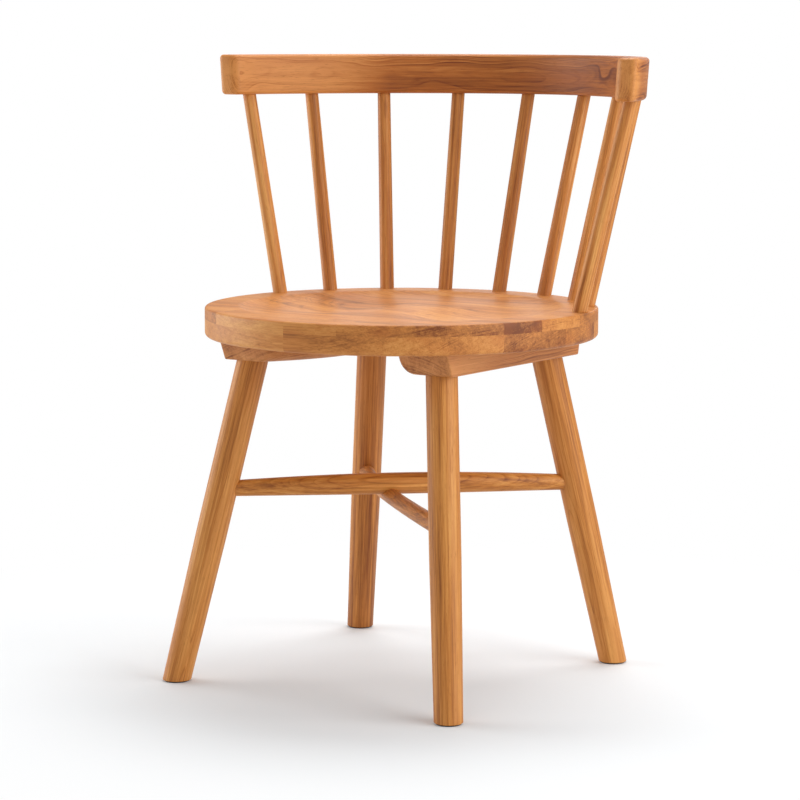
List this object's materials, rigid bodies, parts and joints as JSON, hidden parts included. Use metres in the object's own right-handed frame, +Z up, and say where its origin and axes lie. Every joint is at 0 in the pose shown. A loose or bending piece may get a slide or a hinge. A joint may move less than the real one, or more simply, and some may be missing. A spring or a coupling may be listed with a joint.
{
  "type": "windsor chair",
  "caption": "Round-seated wooden chair with a curved crest rail on upright spindles, splayed turned legs and crossed stretchers.",
  "frame": {"origin": "on the floor under the middle of the chair's overall length and width, 36 mm behind the seat's centre", "axes": "+Z up, front of the chair towards -Y, sitter's left and right along X"},
  "size_m": [0.5996, 0.5455, 0.748],
  "materials": {
    "seat_upper_wood": "clear satin oil",
    "seat_lower_wood": "clear satin oil",
    "rail_wood": "clear satin oil",
    "spindle_wood": "clear satin oil",
    "leg_wood": "clear satin oil",
    "bearer_wood": "clear satin oil",
    "screw_steel": "zinc plated",
    "glide_plastic": "matte dark"
  },
  "bodies": {
    "root": {"bearer_left": "bearer_wood", "bearer_right": "bearer_wood", "bearer_screws": "screw_steel", "crest_rail": "rail_wood", "crossing_screw": "screw_steel", "glide_back_left": "glide_plastic", "glide_back_right": "glide_plastic", "glide_front_left": "glide_plastic", "glide_front_right": "glide_plastic", "leg_back_left": "leg_wood", "leg_back_right": "leg_wood", "leg_front_left": "leg_wood", "leg_front_right": "leg_wood", "seat_lower_board_1": "seat_lower_wood", "seat_lower_board_2": "seat_lower_wood", "seat_lower_board_3": "seat_lower_wood", "seat_lower_board_4": "seat_lower_wood", "seat_lower_front_board_1": "seat_lower_wood", "seat_lower_front_board_2": "seat_lower_wood", "seat_lower_front_board_3": "seat_lower_wood", "seat_upper_board_1": "seat_upper_wood", "seat_upper_board_2": "seat_upper_wood", "seat_upper_board_3": "seat_upper_wood", "seat_upper_board_4": "seat_upper_wood", "seat_upper_board_5": "seat_upper_wood", "seat_upper_front_board_1": "seat_upper_wood", "seat_upper_front_board_2": "seat_upper_wood", "seat_upper_front_board_3": "seat_upper_wood", "seat_upper_front_board_4": "seat_upper_wood", "seat_upper_front_board_5": "seat_upper_wood", "spindle_1": "spindle_wood", "spindle_2": "spindle_wood", "spindle_3": "spindle_wood", "spindle_4": "spindle_wood", "spindle_5": "spindle_wood", "spindle_6": "spindle_wood", "spindle_7": "spindle_wood", "spindle_8": "spindle_wood", "spindle_9": "spindle_wood", "stretcher_over": "leg_wood", "stretcher_under": "leg_wood"}
  },
  "joints": []
}
